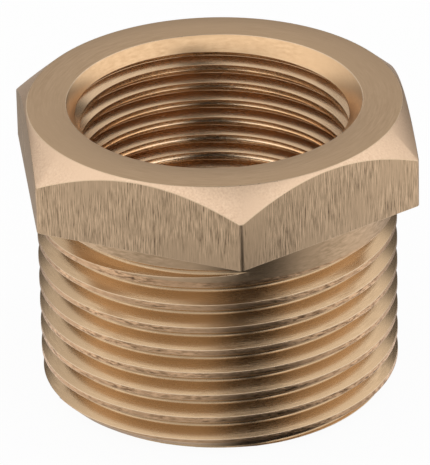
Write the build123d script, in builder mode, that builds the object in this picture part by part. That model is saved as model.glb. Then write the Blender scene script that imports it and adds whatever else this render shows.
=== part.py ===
from build123d import *

import os
from math import atan2, cos, degrees, radians, sin, tan

# Hex reducing bushing: 1 inch male by 3/4 inch female parallel pipe thread, turned from one piece.
# Millimetres. The origin is the centre of the threaded end, which the bushing stands on, and +Z
# runs up the common axis of both threads to the hexagon. One corner of the hexagon points along -Y.

# Whole piece
total_length = 27.7
hex_height = 7.1
width_across_flats = 34.6

# Cone turned on the head, which takes its corners off and leaves a round flat face inside
top_face_diameter = 34.2
corner_chamfer_drop = 2.55

# Chamfers at the mouths of the bore and on the end of the shank
countersink_diameter = 26.95
countersink_depth = 1.45
bore_end_chamfer = 0.8
threaded_end_diameter = 30.6
threaded_end_chamfer = 1.2

# Male thread, 11 turns to the inch, with its crests turned off just inside the full diameter
male_pitch = 25.4 / 11
male_pitch_diameter = 31.770
male_root_diameter = 30.291
male_crest_diameter = 33.0
male_turns = 9
male_start_angle = -150
male_start_height = -2.456

# Female thread, 14 turns to the inch, tapped down into the drilled bore
female_pitch = 25.4 / 14
female_pitch_diameter = 25.279
female_root_diameter = 26.441
bore_diameter = 24.5
female_turns = 9
female_start_angle = 60
female_start_height = 28.72

# What both threads share: their form, and how the cutting tool leaves the metal at the last turn
thread_angle = 55
cutter_clearance = 0.3
runout_turns = 0.2
runout_travel = 1.6

hex_underside = total_length - hex_height
corner_radius = width_across_flats / 2 / sin(radians(60))
outside_everything = corner_radius + 1


def groove_corners(pitch, pitch_radius, open_radius, root_radius):
    """Corners of the groove between two crests: two flanks and a flat root, half a pitch wide at
    the pitch line. open_radius lies just clear of the crests, on their side of the root."""
    spread = tan(radians(thread_angle / 2))
    half_open = pitch / 4 + abs(open_radius - pitch_radius) * spread
    half_root = pitch / 4 - abs(root_radius - pitch_radius) * spread
    corners = [
        (open_radius, half_open),
        (root_radius, half_root),
        (root_radius, -half_root),
        (open_radius, -half_open),
    ]
    if open_radius < root_radius:
        corners.reverse()
    return corners


def thread_groove(pitch, turns, corners, travel):
    """Cutter for a right-hand groove that starts over +X at the origin and climbs along +Z.

    The section is swept one turn of the helix at a time. A last part of a turn follows a cone,
    where the tool leaves the metal: outwards for positive travel, inwards for negative.
    """
    path_radius = corners[0][0]
    full_height = turns * pitch
    runout_height = runout_turns * pitch
    runout_slope = atan2(travel, runout_height)
    with BuildPart() as groove:
        with BuildLine() as full_turns:
            for turn in range(turns):
                Helix(pitch, pitch, path_radius, center=(0, 0, turn * pitch))
        with BuildSketch(Plane.XZ):
            with BuildLine():
                Polyline(*corners, close=True)
            make_face()
        sweep(path=full_turns.line, is_frenet=True, clean=False)

        with BuildLine() as runout:
            Helix(
                pitch / cos(runout_slope),
                runout_height,
                path_radius,
                center=(0, 0, full_height),
                cone_angle=degrees(runout_slope),
            )
        with BuildSketch(Plane(origin=(0, 0, full_height), x_dir=(1, 0, 0), z_dir=(0, -1, 0))):
            with BuildLine():
                Polyline(*corners, close=True)
            make_face()
        sweep(path=runout.line, is_frenet=True, clean=False)
    return groove.part


male_corners = groove_corners(
    male_pitch,
    male_pitch_diameter / 2,
    male_crest_diameter / 2 + cutter_clearance,
    male_root_diameter / 2,
)
female_corners = groove_corners(
    female_pitch,
    female_pitch_diameter / 2,
    bore_diameter / 2 - cutter_clearance,
    female_root_diameter / 2,
)
male_groove = thread_groove(male_pitch, male_turns, male_corners, runout_travel)
female_groove = thread_groove(female_pitch, female_turns, female_corners, -runout_travel)


with BuildPart() as hex_bushing:
    # Hexagonal head
    with BuildSketch(Plane.XY.offset(hex_underside)):
        RegularPolygon(corner_radius, 6, rotation=30)
    extrude(amount=hex_height)

    # Waste above the cone that is turned on the head's corners
    with BuildSketch(Plane.XZ):
        with BuildLine():
            Polyline(
                (top_face_diameter / 2, total_length),
                (corner_radius, total_length - corner_chamfer_drop),
                (outside_everything, total_length - corner_chamfer_drop),
                (outside_everything, total_length + 1),
                (top_face_diameter / 2, total_length + 1),
                close=True,
            )
        make_face()
    revolve(axis=Axis.Z, mode=Mode.SUBTRACT)

    # Shank, turned to the crests of the male thread, with a lead-in chamfer on its end. Its section
    # lies on the -X side, so the seam of its surface is clear of where the male groove runs out.
    with BuildSketch(Plane(origin=(0, 0, 0), x_dir=(-1, 0, 0), z_dir=(0, 1, 0))):
        with BuildLine():
            Polyline(
                (0, 0),
                (threaded_end_diameter / 2, 0),
                (male_crest_diameter / 2, threaded_end_chamfer),
                (male_crest_diameter / 2, hex_underside),
                (0, hex_underside),
                close=True,
            )
        make_face()
    revolve(axis=Axis.Z)

    # Through bore, with a countersunk mouth at the top and a small chamfer at the threaded end
    with BuildSketch(Plane.XZ):
        with BuildLine():
            Polyline(
                (0, 0),
                (bore_diameter / 2 + bore_end_chamfer, 0),
                (bore_diameter / 2, bore_end_chamfer),
                (bore_diameter / 2, total_length - countersink_depth),
                (countersink_diameter / 2, total_length),
                (0, total_length),
                close=True,
            )
        make_face()
    revolve(axis=Axis.Z, mode=Mode.SUBTRACT)

    # Both threads are grooves cut out of the plain shank and bore, which leaves flat crests
    with Locations(Location((0, 0, male_start_height), (0, 0, male_start_angle))):
        add(male_groove, mode=Mode.SUBTRACT)
    with Locations(Location((0, 0, female_start_height), (180, 0, female_start_angle))):
        add(female_groove, mode=Mode.SUBTRACT)

hex_bushing.part.label = "hex_bushing"
os.makedirs("parts", exist_ok=True)
export_step(hex_bushing.part, "parts/hex_bushing.step")
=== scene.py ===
from math import cos, hypot, pi, radians, sin, tan

import bpy
from mathutils import Matrix, Vector


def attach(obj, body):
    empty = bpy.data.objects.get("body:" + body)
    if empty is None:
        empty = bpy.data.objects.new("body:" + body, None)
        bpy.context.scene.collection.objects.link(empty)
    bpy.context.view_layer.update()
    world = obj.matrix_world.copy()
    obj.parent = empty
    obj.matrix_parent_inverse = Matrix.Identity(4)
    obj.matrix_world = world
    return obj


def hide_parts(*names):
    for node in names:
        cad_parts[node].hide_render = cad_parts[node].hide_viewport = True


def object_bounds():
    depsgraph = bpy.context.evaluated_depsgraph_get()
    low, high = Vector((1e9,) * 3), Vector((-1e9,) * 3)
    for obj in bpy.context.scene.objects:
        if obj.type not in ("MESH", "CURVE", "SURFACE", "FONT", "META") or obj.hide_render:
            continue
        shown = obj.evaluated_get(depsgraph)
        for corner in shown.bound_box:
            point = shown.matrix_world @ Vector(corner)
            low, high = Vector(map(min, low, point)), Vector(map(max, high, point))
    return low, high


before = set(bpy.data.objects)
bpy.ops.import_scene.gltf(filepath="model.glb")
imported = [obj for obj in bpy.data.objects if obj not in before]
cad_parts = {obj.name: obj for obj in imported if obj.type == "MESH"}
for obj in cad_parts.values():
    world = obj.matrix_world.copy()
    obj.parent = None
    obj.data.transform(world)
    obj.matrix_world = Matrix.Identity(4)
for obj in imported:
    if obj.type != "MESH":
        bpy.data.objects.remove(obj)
cad_low, cad_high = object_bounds()

# ---------------------------------------------------------------------------------------------
# Bronze blank: a hexagon bar, turned down to the shank, bored through, with a cone turned on the
# corners of its head and a countersunk mouth. Every surface keeps the finish its tool gave it.
# ---------------------------------------------------------------------------------------------
mm = 0.001
total_length = cad_high.z
hex_height = 7.1 * mm
hex_underside = total_length - hex_height
across_flats = cad_high.x - cad_low.x
corner_radius = across_flats / 2 / sin(radians(60))
corner_rounding = 0.5 * mm
corner_segments = 6
top_face_radius = 17.1 * mm
corner_chamfer_drop = 2.55 * mm
cone_slope = corner_chamfer_drop / (corner_radius - top_face_radius)
bar_allowance = 1 * mm
bar_radius = corner_radius + bar_allowance
cone_foot = total_length - cone_slope * (bar_radius - top_face_radius)
shank_radius = 16.5 * mm
shank_end_radius = 15.3 * mm
shank_end_chamfer = 1.2 * mm
neck_height = 2.85 * mm
neck_foot = hex_underside - neck_height
bore_radius = 12.25 * mm
bore_end_chamfer = 0.8 * mm
countersink_radius = 13.475 * mm
countersink_depth = 1.45 * mm
steps_a_turn = 144

finishes = [
    "turned_face", "countersink", "corner_cone", "dressed_flat", "smooth_neck", "torn_crest",
    "drilled_bore", "cut_flank", "tapped_flank", "rubbed_and_highlit_edge",
]


def work_on(piece):
    """Makes one piece the only selected and active object."""
    bpy.ops.object.select_all(action="DESELECT")
    piece.select_set(True)
    bpy.context.view_layer.objects.active = piece


def outline(name, corners, angle):
    """A closed outline in the half plane at that angle round Z, from corners of (radius, height)."""
    bpy.ops.object.select_all(action="DESELECT")
    bpy.ops.mesh.primitive_circle_add(vertices=len(corners), radius=shank_radius)
    piece = bpy.context.object
    piece.name = name
    for vertex, (radius, height) in zip(piece.data.vertices, corners):
        vertex.co = (radius * cos(angle), radius * sin(angle), height)
    return piece


def turn_round_axis(piece, steps, pitch):
    """Turns an outline round Z by that many steps, climbing one pitch for each whole turn."""
    turns = steps / steps_a_turn
    work_on(piece)
    screw = piece.modifiers.new("turning", "SCREW")
    screw.axis = "Z"
    screw.angle = turns * 2 * pi
    screw.screw_offset = turns * pitch
    screw.steps = steps
    screw.render_steps = steps
    screw.use_merge_vertices = pitch == 0
    screw.merge_threshold = 0.001 * mm
    screw.use_smooth_shade = False
    bpy.ops.object.modifier_apply(modifier=screw.name)


def face_outwards(piece):
    """Closes open ends and points every face out of the metal."""
    work_on(piece)
    bpy.ops.object.mode_set(mode="EDIT")
    bpy.ops.mesh.select_all(action="SELECT")
    bpy.ops.mesh.fill_holes(sides=0)
    bpy.ops.mesh.select_all(action="SELECT")
    bpy.ops.mesh.normals_make_consistent(inside=False)
    bpy.ops.object.mode_set(mode="OBJECT")


def cut(piece, tool, operation):
    """Boolean with another piece, which is then thrown away."""
    work_on(piece)
    boolean = piece.modifiers.new("cut", "BOOLEAN")
    boolean.operation = operation
    boolean.solver = "EXACT"
    boolean.object = tool
    boolean.material_mode = "INDEX"
    bpy.ops.object.modifier_apply(modifier=boolean.name)
    bpy.data.objects.remove(tool)


# The blank starts half a step round, so that its edges never meet those of the thread tools
half_step = pi / steps_a_turn
body = outline("bushing_body", [
    (bore_radius + bore_end_chamfer, 0),
    (shank_end_radius, 0),
    (shank_radius, shank_end_chamfer),
    (shank_radius, neck_foot),
    (shank_radius, hex_underside),
    (bar_radius, hex_underside),
    (bar_radius, cone_foot),
    (top_face_radius, total_length),
    (countersink_radius, total_length),
    (bore_radius, total_length - countersink_depth),
    (bore_radius, bore_end_chamfer),
], half_step)
turn_round_axis(body, steps_a_turn, 0)
face_outwards(body)

# The hexagon that the blank is cut to, with its six upright edges rounded
bpy.ops.object.select_all(action="DESELECT")
bpy.ops.mesh.primitive_cylinder_add(
    vertices=6,
    radius=corner_radius,
    depth=2 * total_length,
    location=(0, 0, total_length / 2),
)
hexagon = bpy.context.object
bpy.ops.object.mode_set(mode="EDIT")
bpy.ops.mesh.select_all(action="DESELECT")
bpy.ops.object.mode_set(mode="OBJECT")
for edge in hexagon.data.edges:
    first, last = (hexagon.data.vertices[i].co for i in edge.vertices)
    edge.select = abs(first.z - last.z) > total_length
bpy.ops.object.mode_set(mode="EDIT")
bpy.ops.mesh.bevel(offset=corner_rounding * tan(radians(30)), segments=corner_segments, affect="EDGES")
bpy.ops.object.mode_set(mode="OBJECT")
cut(body, hexagon, "INTERSECT")

# Each face takes its finish from where it lies and which way it faces
for name in finishes:
    body.data.materials.append(bpy.data.materials.new(name))
for face in body.data.polygons:
    radius = hypot(face.center.x, face.center.y)
    height = face.center.z
    level = abs(face.normal.z) > 0.99
    upright = abs(face.normal.z) < 0.1
    if level:
        finish = "turned_face"
    elif height > hex_underside and not upright:
        finish = "corner_cone" if radius > top_face_radius else "countersink"
    elif height > hex_underside and radius > shank_radius:
        finish = "dressed_flat"
    elif radius < bore_radius + bore_end_chamfer:
        finish = "drilled_bore"
    else:
        finish = "smooth_neck" if height > neck_foot else "torn_crest"
    face.material_index = finishes.index(finish)

# ---------------------------------------------------------------------------------------------
# Threads: right-hand 55 degree grooves, 11 turns to the inch outside and 14 inside. Each is cut
# by one tool, which climbs the helix and draws out of the metal over the last part of a turn.
# ---------------------------------------------------------------------------------------------
mm_in_an_inch = 25.4
half_thread_angle = radians(27.5)
thread_turns = 9
full_steps = thread_turns * steps_a_turn
tool_clearance = 0.3 * mm
root_tolerance = 0.01 * mm
runout_steps = 30
runout_travel = 1.6 * mm
male_pitch = mm_in_an_inch / 11 * mm
male_pitch_diameter = 31.770 * mm
male_root_diameter = 30.291 * mm
female_pitch = mm_in_an_inch / 14 * mm
female_pitch_diameter = 25.279 * mm
female_root_diameter = 26.441 * mm
female_end_height = 28.72 * mm

# The female groove fades out of the metal where it reaches the countersink, over a third of a
# turn, so that most of the cone there stays whole
steps_above_fade = 192
mouth_fade_start = runout_steps + full_steps - steps_above_fade
mouth_fade_steps = 48
mouth_travel = 1.3 * mm


def thread_tool(
    name, pitch, pitch_radius, open_radius, root_radius, root_round, start, foot, leaves_at_top
):
    """Cutter for one groove, whose middle is at angle start and height foot on the first full turn."""
    half_open = pitch / 4 + abs(open_radius - pitch_radius) * tan(half_thread_angle)
    half_root = pitch / 4 - abs(root_radius - pitch_radius) * tan(half_thread_angle)
    if not leaves_at_top:
        start -= 2 * pi * runout_steps / steps_a_turn
        foot -= pitch * runout_steps / steps_a_turn
    tool = outline(name, [
        (open_radius, foot - half_open),
        (root_radius, foot - half_root),
        (root_radius, foot + half_root),
        (open_radius, foot + half_open),
    ], start)
    bpy.ops.object.mode_set(mode="EDIT")
    bpy.ops.mesh.select_all(action="DESELECT")
    bpy.ops.object.mode_set(mode="OBJECT")
    for vertex in tool.data.vertices:
        vertex.select = abs(hypot(vertex.co.x, vertex.co.y) - root_radius) < root_tolerance
    bpy.ops.object.mode_set(mode="EDIT")
    bpy.ops.mesh.bevel(offset=root_round / 2, segments=3, affect="VERTICES")
    bpy.ops.object.mode_set(mode="OBJECT")
    corners = len(tool.data.vertices)
    turn_round_axis(tool, full_steps + runout_steps, pitch)

    # Each step of the turn holds as many vertices as the outline, in the same order. The male tool
    # leaves by its run-out. The female one enters by its run-out and leaves by the fade.
    out_of_metal = runout_travel if open_radius > root_radius else -runout_travel
    for vertex in tool.data.vertices:
        step = vertex.index // corners
        steps_past = step - full_steps if leaves_at_top else runout_steps - step
        if steps_past > 0:
            radius = hypot(vertex.co.x, vertex.co.y)
            vertex.co.xy *= 1 + out_of_metal * steps_past / runout_steps / radius
        steps_into_mouth = step - mouth_fade_start
        if not leaves_at_top and steps_into_mouth > 0:
            radius = hypot(vertex.co.x, vertex.co.y)
            vertex.co.xy *= 1 - mouth_travel * min(steps_into_mouth / mouth_fade_steps, 1) / radius
    face_outwards(tool)
    return tool


male_tool = thread_tool(
    "male_tool",
    pitch=male_pitch,
    pitch_radius=male_pitch_diameter / 2,
    open_radius=shank_radius + tool_clearance,
    root_radius=male_root_diameter / 2,
    root_round=0.28 * mm,
    start=radians(-150),
    foot=-2.456 * mm,
    leaves_at_top=True,
)
female_tool = thread_tool(
    "female_tool",
    pitch=female_pitch,
    pitch_radius=female_pitch_diameter / 2,
    open_radius=bore_radius - tool_clearance,
    root_radius=female_root_diameter / 2,
    root_round=0.10 * mm,
    start=radians(-60),
    foot=female_end_height - thread_turns * female_pitch,
    leaves_at_top=False,
)
for tool, finish in ((male_tool, "cut_flank"), (female_tool, "tapped_flank")):
    for name in finishes:
        tool.data.materials.append(bpy.data.materials[name])
    for face in tool.data.polygons:
        face.material_index = finishes.index(finish)
    cut(body, tool, "DIFFERENCE")

# Every sharp edge is broken. The clamp would shrink them all to suit the shortest edge, so it is
# off, and what then stands proud of the shank or its end is dressed back.
work_on(body)
edges = body.modifiers.new("broken_edges", "BEVEL")
edges.width = 0.05 * mm
edges.segments = 2
edges.use_clamp_overlap = False
edges.limit_method = "ANGLE"
edges.angle_limit = radians(35)
edges.miter_outer = "MITER_ARC"
# The bevel faces take a lighter colour: partly rubbing, partly a painted highlight along each edge.
edges.material = finishes.index("rubbed_and_highlit_edge")
bpy.ops.object.modifier_apply(modifier=edges.name)
for vertex in body.data.vertices:
    vertex.co.z = max(vertex.co.z, 0)
    radius = hypot(vertex.co.x, vertex.co.y)
    if vertex.co.z < neck_foot and radius > shank_radius:
        vertex.co.xy *= shank_radius / radius

# In the bore, only the edge of the mouth keeps the rubbed edge's colour and painted highlight. The
# groove's own edges look like its flanks.
mouth_edge_width = 0.2 * mm
for face in body.data.polygons:
    in_bore = hypot(face.center.x, face.center.y) < countersink_radius - mouth_edge_width
    if in_bore and face.material_index == finishes.index("rubbed_and_highlit_edge"):
        face.material_index = finishes.index("tapped_flank")
bpy.ops.object.shade_smooth_by_angle(angle=radians(28))

# ---------------------------------------------------------------------------------------------
# Finishes: the same bronze everywhere, left as each tool leaves it. The colours differ from finish
# to finish as painted light: painted shade on the top face, and painted highlight on the cones, the
# countersink and the broken edges, which are also rubbed. Marks are noise drawn out along the cut,
# strong in some patches, and change the colour, the roughness and the height.
# ---------------------------------------------------------------------------------------------
def math_node(tree, operation, first, second=None):
    """A Math node fed by sockets or plain numbers. Gives its result."""
    node = tree.nodes.new("ShaderNodeMath")
    node.operation = operation
    for socket, value in zip(node.inputs, (first, second)):
        if isinstance(value, bpy.types.NodeSocket):
            tree.links.new(value, socket)
        elif value is not None:
            socket.default_value = value
    return node.outputs["Value"]


def ramp(tree, value, start, end, low=0.0, high=1.0, smooth=False):
    """A Map Range node: low at start, high at end and level beyond them. Gives its result."""
    node = tree.nodes.new("ShaderNodeMapRange")
    node.interpolation_type = "SMOOTHSTEP" if smooth else "LINEAR"
    for socket, number in (("From Min", start), ("From Max", end), ("To Min", low), ("To Max", high)):
        if isinstance(number, bpy.types.NodeSocket):
            tree.links.new(number, node.inputs[socket])
        else:
            node.inputs[socket].default_value = number
    tree.links.new(value, node.inputs["Value"])
    return node.outputs["Result"]


# Marks lie round the axis where Round Axis is 1, and straight up and down where it is 0. Plane Size
# is their size across the X and Y axes, and Third Size is across the cut, or up it on a flat. On
# turned metal, across the cut is outwards on a face and upwards on a shank, so both are added.
height_share = 0.37
patch_scale = 160
tool_marks = bpy.data.node_groups.new("tool_marks", "ShaderNodeTree")
for socket, value in (
    ("Round Axis", 1),
    ("Plane Size", 1 * mm),
    ("Third Size", 0.1 * mm),
    ("Sharpness", 0.2),
):
    made = tool_marks.interface.new_socket(socket, in_out="INPUT", socket_type="NodeSocketFloat")
    made.default_value = value
for socket in ("Marks", "Pits"):
    tool_marks.interface.new_socket(socket, in_out="OUTPUT", socket_type="NodeSocketFloat")
given = tool_marks.nodes.new("NodeGroupInput")
result = tool_marks.nodes.new("NodeGroupOutput")
place = tool_marks.nodes.new("ShaderNodeTexCoord")
parts = tool_marks.nodes.new("ShaderNodeSeparateXYZ")
tool_marks.links.new(place.outputs["Object"], parts.inputs["Vector"])
square_x = math_node(tool_marks, "POWER", parts.outputs["X"], 2)
square_y = math_node(tool_marks, "POWER", parts.outputs["Y"], 2)
radius = math_node(tool_marks, "SQRT", math_node(tool_marks, "ADD", square_x, square_y))
rise = math_node(tool_marks, "MULTIPLY", parts.outputs["Z"], height_share)
across_cut = math_node(tool_marks, "ADD", radius, rise)
change = math_node(tool_marks, "SUBTRACT", across_cut, parts.outputs["Z"])
change = math_node(tool_marks, "MULTIPLY", change, given.outputs["Round Axis"])
third = math_node(tool_marks, "ADD", parts.outputs["Z"], change)
stretched = tool_marks.nodes.new("ShaderNodeCombineXYZ")
for axis, length, size in (
    ("X", parts.outputs["X"], "Plane Size"),
    ("Y", parts.outputs["Y"], "Plane Size"),
    ("Z", third, "Third Size"),
):
    in_sizes = math_node(tool_marks, "DIVIDE", length, given.outputs[size])
    tool_marks.links.new(in_sizes, stretched.inputs[axis])
tears = tool_marks.nodes.new("ShaderNodeTexNoise")
tears.inputs["Scale"].default_value = 1
tears.inputs["Detail"].default_value = 3
tears.inputs["Roughness"].default_value = 0.6
tool_marks.links.new(stretched.outputs["Vector"], tears.inputs["Vector"])
faint = math_node(tool_marks, "SUBTRACT", 0.5, given.outputs["Sharpness"])
strong = math_node(tool_marks, "ADD", 0.5, given.outputs["Sharpness"])
marks = ramp(tool_marks, tears.outputs["Fac"], start=faint, end=strong)
pits = ramp(tool_marks, tears.outputs["Fac"], start=0.36, end=0.30)
patches = tool_marks.nodes.new("ShaderNodeTexNoise")
patches.inputs["Scale"].default_value = patch_scale
patches.inputs["Detail"].default_value = 2
tool_marks.links.new(place.outputs["Object"], patches.inputs["Vector"])
marked = ramp(tool_marks, patches.outputs["Fac"], start=0.40, end=0.56, low=0.25)
marks = math_node(tool_marks, "MULTIPLY", math_node(tool_marks, "SUBTRACT", marks, 0.5), marked)
tool_marks.links.new(math_node(tool_marks, "ADD", marks, 0.5), result.inputs["Marks"])
tool_marks.links.new(math_node(tool_marks, "MULTIPLY", pits, marked), result.inputs["Pits"])

pit_colour = (0.10, 0.06, 0.04)
roughness_spread = 0.06


def bronze_finish(
    name, dull, bright, roughness, plane_size, third_size, height, round_axis=1, pits=0.0, sharpness=0.2
):
    """One finish of the bronze: two colours, and the size and height of the marks between them."""
    material = bpy.data.materials[name]
    material.use_nodes = True
    tree = material.node_tree
    shader = tree.nodes["Principled BSDF"]
    shader.inputs["Metallic"].default_value = 1

    marks = tree.nodes.new("ShaderNodeGroup")
    marks.node_tree = tool_marks
    marks.inputs["Round Axis"].default_value = round_axis
    marks.inputs["Plane Size"].default_value = plane_size
    marks.inputs["Third Size"].default_value = third_size
    marks.inputs["Sharpness"].default_value = sharpness

    colour = tree.nodes.new("ShaderNodeMix")
    colour.data_type = "RGBA"
    colour.inputs["A"].default_value = (*dull, 1)
    colour.inputs["B"].default_value = (*bright, 1)
    tree.links.new(marks.outputs["Marks"], colour.inputs["Factor"])
    pitted = tree.nodes.new("ShaderNodeMix")
    pitted.data_type = "RGBA"
    pitted.inputs["B"].default_value = (*pit_colour, 1)
    tree.links.new(math_node(tree, "MULTIPLY", marks.outputs["Pits"], pits), pitted.inputs["Factor"])
    tree.links.new(colour.outputs["Result"], pitted.inputs["A"])
    tree.links.new(pitted.outputs["Result"], shader.inputs["Base Color"])

    dullest = roughness + roughness_spread
    shiniest = roughness - roughness_spread
    rough = ramp(tree, marks.outputs["Marks"], start=0, end=1, low=dullest, high=shiniest)
    tree.links.new(rough, shader.inputs["Roughness"])
    bump = tree.nodes.new("ShaderNodeBump")
    bump.inputs["Strength"].default_value = 1
    bump.inputs["Distance"].default_value = height
    tree.links.new(marks.outputs["Marks"], bump.inputs["Height"])
    tree.links.new(bump.outputs["Normal"], shader.inputs["Normal"])


# Top face: its colours are darker than the bronze itself, as painted shade.
bronze_finish(
    "turned_face", dull=(0.545, 0.37, 0.225), bright=(0.62, 0.43, 0.263), roughness=0.44,
    plane_size=2 * mm, third_size=0.15 * mm, height=0.001 * mm,
)
# Countersink: its colours are lighter than the bronze itself, as a painted highlight.
bronze_finish(
    "countersink", dull=(0.81, 0.525, 0.295), bright=(0.94, 0.635, 0.37), roughness=0.34,
    plane_size=0.8 * mm, third_size=0.25 * mm, height=0.004 * mm,
)
# Corner cone: its colours are lighter than the bronze itself, as a painted highlight.
bronze_finish(
    "corner_cone", dull=(0.85, 0.595, 0.40), bright=(1.0, 0.74, 0.525), roughness=0.40,
    plane_size=0.2 * mm, third_size=0.16 * mm, height=0.006 * mm,
)
bronze_finish(
    "dressed_flat", dull=(0.35, 0.24, 0.145), bright=(0.98, 0.70, 0.455), roughness=0.40,
    plane_size=0.10 * mm, third_size=1.5 * mm, height=0.018 * mm,
    round_axis=0, pits=0.8,
)
bronze_finish(
    "smooth_neck", dull=(0.50, 0.34, 0.20), bright=(0.80, 0.56, 0.36), roughness=0.40,
    plane_size=0.9 * mm, third_size=0.08 * mm, height=0.006 * mm,
)
bronze_finish(
    "torn_crest", dull=(0.37, 0.215, 0.115), bright=(0.98, 0.63, 0.375), roughness=0.36,
    plane_size=0.8 * mm, third_size=0.07 * mm, height=0.018 * mm,
    pits=0.9, sharpness=0.12,
)
bronze_finish(
    "drilled_bore", dull=(0.68, 0.51, 0.35), bright=(0.78, 0.595, 0.42), roughness=0.25,
    plane_size=1 * mm, third_size=0.06 * mm, height=0.003 * mm,
)
bronze_finish(
    "cut_flank", dull=(0.635, 0.44, 0.262), bright=(0.735, 0.512, 0.309), roughness=0.26,
    plane_size=1.5 * mm, third_size=0.10 * mm, height=0.003 * mm,
)
bronze_finish(
    "tapped_flank", dull=(0.62, 0.425, 0.26), bright=(0.72, 0.505, 0.315), roughness=0.25,
    plane_size=1.5 * mm, third_size=0.1 * mm, height=0.002 * mm,
)
# Broken edges: lighter than the faces beside them, for rubbing and for a painted highlight.
bronze_finish(
    "rubbed_and_highlit_edge", dull=(0.78, 0.57, 0.37), bright=(0.88, 0.66, 0.45), roughness=0.30,
    plane_size=0.4 * mm, third_size=0.10 * mm, height=0.003 * mm,
)

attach(body, "root")
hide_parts("hex_bushing")

# ---------------------------------------------------------------------------------------------
# Floor: white paper that keeps a little of the object's shadow. Bright metal shows only what it
# mirrors, so to the metal alone the paper has darker parts. The front gap darkens the thread.
# ---------------------------------------------------------------------------------------------
whiteness = 0.95
gap_bearing = radians(-77)
gap_half_width = radians(10)
gap_reach = radians(31)
right_back_bearing = radians(30)
strip_light = 2.4

bpy.ops.object.select_all(action="DESELECT")
bpy.ops.mesh.primitive_plane_add(size=4, location=(0, 0, 0))
floor = bpy.context.object
floor.name = "floor"
paper = bpy.data.materials.new("white_paper")
floor.data.materials.append(paper)
paper.use_nodes = True
tree = paper.node_tree
matt = tree.nodes["Principled BSDF"]
matt.inputs["Base Color"].default_value = (0.8, 0.8, 0.8, 1)
matt.inputs["Roughness"].default_value = 0.9
matt.inputs["Specular IOR Level"].default_value = 0

# As the camera sees it
light_path = tree.nodes.new("ShaderNodeLightPath")
camera_ray = light_path.outputs["Is Camera Ray"]
seen = math_node(tree, "MAXIMUM", camera_ray, light_path.outputs["Is Transmission Ray"])
glow = tree.nodes.new("ShaderNodeEmission")
glow.inputs["Strength"].default_value = 1
whitened = tree.nodes.new("ShaderNodeMixShader")
tree.links.new(math_node(tree, "MULTIPLY", seen, whiteness), whitened.inputs["Fac"])
tree.links.new(matt.outputs["BSDF"], whitened.inputs[1])
tree.links.new(glow.outputs["Emission"], whitened.inputs[2])

# As the metal sees it: bright at both sides, half lit behind, and dark in the gap. Under the bore,
# where little light gets in, it is brighter than white, with a dark strip from front to back.
spot = tree.nodes.new("ShaderNodeTexCoord")
spot_parts = tree.nodes.new("ShaderNodeSeparateXYZ")
tree.links.new(spot.outputs["Object"], spot_parts.inputs["Vector"])
bearing = math_node(tree, "ARCTAN2", spot_parts.outputs["Y"], spot_parts.outputs["X"])
sideways = math_node(tree, "ABSOLUTE", math_node(tree, "COSINE", bearing))
beside = ramp(tree, sideways, start=0.80, end=0.98, low=0.56, high=0.90)
off_gap = math_node(tree, "ABSOLUTE", math_node(tree, "SUBTRACT", bearing, gap_bearing))
gap = ramp(tree, off_gap, start=gap_half_width, end=gap_reach, low=0.03, smooth=True)
behind = math_node(tree, "SINE", bearing)
behind = ramp(tree, behind, start=0.30, end=0.80, low=1, high=0.60)
off_right_back = math_node(tree, "ABSOLUTE", math_node(tree, "SUBTRACT", bearing, right_back_bearing))
right_back = ramp(
    tree, off_right_back, start=radians(14), end=radians(32), low=0.55, smooth=True
)
around = math_node(tree, "MULTIPLY", math_node(tree, "MULTIPLY", beside, gap), behind)
around = math_node(tree, "MULTIPLY", around, right_back)
off_strip = math_node(tree, "ABSOLUTE", spot_parts.outputs["X"])
strip = ramp(
    tree, off_strip, start=5.4 * mm, end=8.4 * mm, low=0.01, high=strip_light, smooth=True
)
distance = tree.nodes.new("ShaderNodeVectorMath")
distance.operation = "LENGTH"
tree.links.new(spot.outputs["Object"], distance.inputs[0])
past_bore = ramp(tree, distance.outputs["Value"], start=bore_radius, end=shank_end_radius)
level = tree.nodes.new("ShaderNodeMix")
tree.links.new(past_bore, level.inputs["Factor"])
tree.links.new(strip, level.inputs["A"])
tree.links.new(around, level.inputs["B"])
mirrored = tree.nodes.new("ShaderNodeEmission")
tree.links.new(level.outputs["Result"], mirrored.inputs["Strength"])
shown = tree.nodes.new("ShaderNodeMixShader")
tree.links.new(light_path.outputs["Is Glossy Ray"], shown.inputs["Fac"])
tree.links.new(whitened.outputs["Shader"], shown.inputs[1])
tree.links.new(mirrored.outputs["Emission"], shown.inputs[2])
tree.links.new(shown.outputs["Shader"], tree.nodes["Material Output"].inputs["Surface"])

# ---------------------------------------------------------------------------------------------
# Surround: soft and white all round. To the metal alone it has a grey panel behind, a dark slit
# overhead and the same dark gap in front, and it darkens low down at the back.
# ---------------------------------------------------------------------------------------------
panel_middle = -0.22
panel_darkness = 0.30
slit_middle = 0.13
slit_darkness = 0.97
gap_darkness = 0.97
skirting_darkness = 0.92

world = bpy.data.worlds.new("studio")
bpy.context.scene.world = world
world.use_nodes = True
tree = world.node_tree
toward = tree.nodes.new("ShaderNodeTexCoord")
toward_parts = tree.nodes.new("ShaderNodeSeparateXYZ")
tree.links.new(toward.outputs["Generated"], toward_parts.inputs["Vector"])
to_right, to_back, upward = (toward_parts.outputs[axis] for axis in "XYZ")

off_panel = math_node(tree, "ABSOLUTE", math_node(tree, "SUBTRACT", to_right, panel_middle))
panel_below = ramp(tree, upward, start=0.72, end=0.60, high=panel_darkness)
panel = math_node(tree, "MULTIPLY", ramp(tree, off_panel, start=0.60, end=0.40), panel_below)

off_slit = math_node(tree, "ABSOLUTE", math_node(tree, "SUBTRACT", to_right, slit_middle))
slit = ramp(tree, off_slit, start=0.24, end=0.08, high=slit_darkness, smooth=True)
slit = math_node(tree, "MULTIPLY", slit, ramp(tree, to_back, start=-0.36, end=-0.22))
slit = math_node(tree, "MULTIPLY", slit, ramp(tree, upward, start=0.70, end=0.80))

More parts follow.
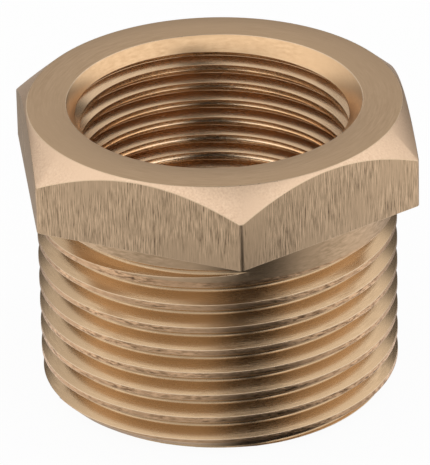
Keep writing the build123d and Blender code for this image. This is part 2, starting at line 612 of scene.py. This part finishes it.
across_gap = tree.nodes.new("ShaderNodeVectorMath")
across_gap.operation = "DOT_PRODUCT"
across_gap.inputs[1].default_value = (-sin(gap_bearing), cos(gap_bearing), 0)
tree.links.new(toward.outputs["Generated"], across_gap.inputs[0])
off_gap = math_node(tree, "ABSOLUTE", across_gap.outputs["Value"])
gap = ramp(tree, off_gap, start=0.26, end=0.08, high=gap_darkness, smooth=True)
gap = math_node(tree, "MULTIPLY", gap, ramp(tree, upward, start=0.74, end=0.64))
gap = math_node(tree, "MULTIPLY", gap, math_node(tree, "LESS_THAN", to_back, 0))

raised = ramp(tree, to_right, start=0.25, end=0.45, high=0.22)
raised = math_node(tree, "MULTIPLY", raised, ramp(tree, to_back, start=0.55, end=0.68))
above_skirting = math_node(tree, "SUBTRACT", upward, raised)
skirting = ramp(tree, above_skirting, start=0.38, end=0.20, high=skirting_darkness)
skirting = math_node(tree, "MULTIPLY", skirting, ramp(tree, to_back, start=0.10, end=0.45))

unlit = math_node(tree, "MAXIMUM", panel, slit)
unlit = math_node(tree, "MAXIMUM", unlit, math_node(tree, "MAXIMUM", gap, skirting))
light_path = tree.nodes.new("ShaderNodeLightPath")
unlit = math_node(tree, "MULTIPLY", unlit, light_path.outputs["Is Glossy Ray"])
background = tree.nodes["Background"]
background.inputs["Color"].default_value = (1, 1, 1, 1)
tree.links.new(math_node(tree, "SUBTRACT", 1, unlit), background.inputs["Strength"])

# ---------------------------------------------------------------------------------------------
# Camera: it stands well back with a long lens, and looks down on the front corner, rolled over
# by about one degree. Its place is worked out from its own three axes.
# ---------------------------------------------------------------------------------------------
camera_elevation = radians(27.99)
camera_turn = radians(-6.03)
camera_roll = radians(1.309)
camera_distance = 0.5647
aim_right = 0.0005
aim_up = -0.0124
right = Vector((cos(camera_turn), sin(camera_turn), 0))
forward = Vector((
    -sin(camera_turn) * cos(camera_elevation),
    cos(camera_turn) * cos(camera_elevation),
    -sin(camera_elevation),
))
up = right.cross(forward)
rolled_right = right * cos(camera_roll) - up * sin(camera_roll)
rolled_up = right * sin(camera_roll) + up * cos(camera_roll)
standpoint = -aim_right * rolled_right - aim_up * rolled_up - camera_distance * forward

camera_data = bpy.data.cameras.new("camera")
camera_data.lens = 470.7
camera_data.sensor_width = 36
camera_data.clip_start = 0.01
camera_data.clip_end = 20
camera = bpy.data.objects.new("camera", camera_data)
bpy.context.scene.collection.objects.link(camera)
turned = Matrix((rolled_right, rolled_up, -forward)).transposed().to_4x4()
camera.matrix_world = Matrix.Translation(standpoint) @ turned
bpy.context.scene.camera = camera
bpy.context.scene.view_settings.view_transform = "Standard"
